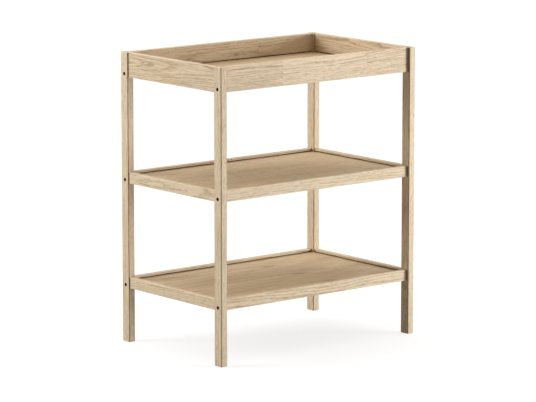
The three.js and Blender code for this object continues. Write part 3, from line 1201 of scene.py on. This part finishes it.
class TABLE_OT_panels(bpy.types.Operator):
    """Make the tray's panel and the two shelves, veneered in leaves along their length"""

    bl_idname = "changing_table.panels"
    bl_label = "Panels"

    def execute(self, context):
        settings = context.scene.table_timber
        leaf = context.scene.table_finish.leaf_width
        post_low, post_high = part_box("front_right_post")
        notch_x = post_low.x - settings.notch_room
        notch_y = -post_high.y - settings.notch_room
        for level in LEVELS:
            node = f"{level}_panel"
            timber = Timber(node, X, Z)
            low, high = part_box(node)
            outline = [
                (-notch_x, low.y), (notch_x, low.y), (notch_x, -notch_y), (high.x, -notch_y),
                (high.x, notch_y), (notch_x, notch_y), (notch_x, high.y), (-notch_x, high.y),
                (-notch_x, notch_y), (low.x, notch_y), (low.x, -notch_y), (-notch_x, -notch_y),
            ]
            bm = extrude_outline([(x, y, low.z) for x, y in outline], Z * (high.z - low.z))
            round_over(bm, list(bm.edges), settings.panel_edge_radius, 2)
            places = (-leaf / 2, leaf / 2)
            split_across(bm, timber.centre, timber.across, places)
            tidy_faces(bm)
            start, tone = timber.stave(*PANEL_SAWING)
            shades = [
                tone + timber.draws.uniform(-LEAF_TONE, LEAF_TONE) for _ in range(len(places) + 1)
            ]
            staves = [
                (start + Vector((LEAF_SHIFT * number, -leaf * (number - 1), 0)), shade)
                for number, shade in enumerate(shades)
            ]
            mark_wood(
                bm, timber, settings.panel_edge_radius, staves, split_axis=1, places=places
            )
            add_piece(bm, f"{level}_sheet", node, "oak_panel")
        return {"FINISHED"}


def bolt_profile(whole_length, radius, fittings):
    """A cap screw's half outline, from the top of its head to its tip."""
    shank = fittings.shank_diameter / 2
    chamfer = fittings.head_chamfer
    root = shank - fittings.thread_depth
    pitch = fittings.thread_pitch
    start = whole_length - fittings.thread_length
    profile = [
        (0, 0),
        (0, radius - chamfer),
        (chamfer, radius),
        (fittings.head_height, radius),
        (fittings.head_height, shank),
        (start, shank),
    ]
    for turn in range(int(fittings.thread_length / pitch) - 1):
        profile.append((start + (turn + 0.5) * pitch, root))
        profile.append((start + (turn + 1) * pitch, shank))
    profile += [(whole_length, shank - fittings.thread_depth), (whole_length, 0)]
    return profile


class TABLE_OT_bolts(bpy.types.Operator):
    """Make the twelve blackened cap screws"""

    bl_idname = "changing_table.bolts"
    bl_label = "Bolts"

    def execute(self, context):
        fittings = context.scene.table_fittings
        corner_radius = fittings.socket_across_flats / 2 / math.cos(math.pi / HEXAGON)
        for level, corner in JOINTS:
            node = f"{level}_{corner}_bolt"
            inward = bolt_direction(corner)
            head = on_axis(node, outermost(node, inward))
            profile = bolt_profile(size(node).x, size(node).y / 2, fittings)
            bm = turned(profile, head, inward, fittings.round_steps)
            bore = bore_profile(-CUT_PAST, fittings.socket_depth, corner_radius)
            socket = turned(bore, head, inward, HEXAGON)
            for face in socket.faces:
                face.smooth = False
            bm = cut_away(bm, socket)
            add_fitting(bm, f"{level}_{corner}_cap_screw", node, inward, "black_steel")
        return {"FINISHED"}


class TABLE_OT_barrel_nuts(bpy.types.Operator):
    """Make the twelve slotted barrel nuts"""

    bl_idname = "changing_table.barrel_nuts"
    bl_label = "Barrel Nuts"

    def execute(self, context):
        fittings = context.scene.table_fittings
        gap = context.scene.table_timber.gap
        for level, corner in JOINTS:
            node = f"{level}_{corner}_barrel_nut"
            outward = -INWARD[corner.split("_")[0]]
            half = size(node).y / 2
            radius = size(node).x / 2
            inner_end = middle(node) - outward * half
            outline = rod_profile(2 * half, radius, fittings.nut_chamfer)
            bm = turned(outline, inner_end, outward, fittings.round_steps)
            hole_radius = fittings.shank_diameter / 2 + gap
            reach = radius + CUT_PAST
            bore = bore_profile(-reach, reach, hole_radius)
            hole = turned(bore, middle(node), X, fittings.round_steps)
            slot_end = inner_end + outward * fittings.slot_depth
            slot_start = inner_end - outward * CUT_PAST
            half_slot = Vector((reach, 0, fittings.slot_width / 2))
            near, far = sorted((slot_start, slot_end), key=lambda point: point.y)
            slot = block(near - half_slot, far + half_slot)
            bm = cut_away(bm, hole, slot)
            add_fitting(bm, f"{level}_{corner}_cross_dowel", node, outward, "zinc_steel")
        return {"FINISHED"}


class TABLE_OT_dowels(bpy.types.Operator):
    """Make the twelve fluted beech dowels"""

    bl_idname = "changing_table.dowels"
    bl_label = "Dowels"

    def execute(self, context):
        fittings = context.scene.table_fittings
        chamfer = fittings.dowel_chamfer
        steps = 2 * fittings.flutes
        for level, corner in JOINTS:
            node = f"{level}_{corner}_dowel"
            whole_length = size(node).x
            radius = size(node).y / 2
            start = on_axis(node, outermost(node, X))
            bm = turned(rod_profile(whole_length, radius, chamfer), start, X, steps)
            for vert in bm.verts:
                spoke = vert.co - start
                spoke.x = 0
                ray = round(math.atan2(spoke.z, spoke.y) / (2 * math.pi) * steps)
                if spoke.length > radius - TOLERANCE and ray % 2:
                    vert.co -= spoke.normalized() * fittings.flute_depth
            add_fitting(bm, f"{level}_{corner}_fluted_dowel", node, X, "beech")
        return {"FINISHED"}


def aim_at(item, place, target):
    """Put a light or the camera at a place, looking at a target."""
    item.location = place
    item.rotation_euler = (target - place).to_track_quat("-Z", "Y").to_euler()
    bpy.context.scene.collection.objects.link(item)


def make_sky(studio):
    """A plain white room that is brighter overhead and darker behind the camera."""
    world = bpy.data.worlds.new("Studio")
    world.use_nodes = True
    tree = world.node_tree
    direction = tree.nodes.new("ShaderNodeTexCoord").outputs["Generated"]
    up = separate(tree, direction)[2]
    glow = remap(tree, up, *SKY_RANGE, studio.sky_horizon, studio.sky_zenith)
    viewer = (math.sin(studio.azimuth), -math.cos(studio.azimuth), 0)
    behind = vector_math(tree, "DOT_PRODUCT", direction, viewer)
    glow = times(tree, glow, remap(tree, behind, *BEHIND_RANGE, 1.0, studio.sky_behind))
    background = tree.nodes["Background"]
    background.inputs["Color"].default_value = (*studio.sky_colour, 1)
    plug(tree, glow, background.inputs["Strength"])
    bpy.context.scene.world = world


def make_floor(studio):
    bm = bmesh.new()
    bmesh.ops.create_grid(bm, x_segments=4, y_segments=4, size=studio.floor_size / 2)
    bmesh.ops.translate(bm, vec=(0, 0, -FLOOR_DROP), verts=bm.verts)
    floor = new_object(bm, "floor", floor_material(studio))


class TABLE_OT_studio(bpy.types.Operator):
    """Make the pale floor, the soft light and the camera"""

    bl_idname = "changing_table.studio"
    bl_label = "Studio"

    def execute(self, context):
        studio = context.scene.table_studio
        centre = (cad_low + cad_high) / 2
        make_floor(studio)
        make_sky(studio)

        softboxes = (
            ("left_softbox", studio.left_power, studio.left_place),
            ("right_softbox", studio.right_power, studio.right_place),
        )
        for name, watts, offset in softboxes:
            softbox = bpy.data.lights.new(name, "AREA")
            softbox.size = studio.softbox_size
            softbox.energy = watts
            softbox.color = studio.light_colour
            aim_at(bpy.data.objects.new(name, softbox), centre + Vector(offset), centre)

        camera = bpy.data.cameras.new("camera")
        camera.lens = studio.focal_length
        camera.sensor_width = SENSOR_WIDTH
        camera.clip_end = VIEW_REACH
        level = math.cos(studio.elevation)
        back = Vector((
            math.sin(studio.azimuth) * level,
            -math.cos(studio.azimuth) * level,
            math.sin(studio.elevation),
        ))
        target = centre + Vector(studio.aim)
        viewer = bpy.data.objects.new("camera", camera)
        aim_at(viewer, target + back * studio.distance, target)
        context.scene.camera = viewer
        context.scene.view_settings.view_transform = "Standard"
        return {"FINISHED"}


class TABLE_PT_panel(bpy.types.Panel):
    """The steps that build the changing table, in order"""

    bl_label = "Oak Changing Table"
    bl_idname = "TABLE_PT_panel"
    bl_space_type = "VIEW_3D"
    bl_region_type = "UI"
    bl_category = "Changing Table"

    def draw(self, context):
        for operator in OPERATORS:
            self.layout.operator(operator.bl_idname)
        for group in SETTINGS:
            box = self.layout.box()
            box.label(text=group[2:].replace("_", " ").title())
            settings = getattr(context.scene, group)
            for name in settings.__annotations__:
                box.prop(settings, name)


SETTINGS = {
    "table_timber": TimberSettings,
    "table_fittings": FittingSettings,
    "table_finish": FinishSettings,
    "table_studio": StudioSettings,
}
OPERATORS = (
    TABLE_OT_posts,
    TABLE_OT_long_rails,
    TABLE_OT_end_rails,
    TABLE_OT_panels,
    TABLE_OT_bolts,
    TABLE_OT_barrel_nuts,
    TABLE_OT_dowels,
    TABLE_OT_studio,
)


def register():
    for name, group in SETTINGS.items():
        bpy.utils.register_class(group)
        setattr(bpy.types.Scene, name, PointerProperty(type=group))
    for item in (*OPERATORS, TABLE_PT_panel):
        bpy.utils.register_class(item)


def unregister():
    for item in reversed((*OPERATORS, TABLE_PT_panel)):
        bpy.utils.unregister_class(item)
    for name, group in SETTINGS.items():
        delattr(bpy.types.Scene, name)
        bpy.utils.unregister_class(group)


def main():
    register()
    bpy.ops.changing_table.posts()
    bpy.ops.changing_table.long_rails()
    bpy.ops.changing_table.end_rails()
    bpy.ops.changing_table.panels()
    bpy.ops.changing_table.bolts()
    bpy.ops.changing_table.barrel_nuts()
    bpy.ops.changing_table.dowels()
    bpy.ops.changing_table.studio()


if __name__ == "__main__":
    main()
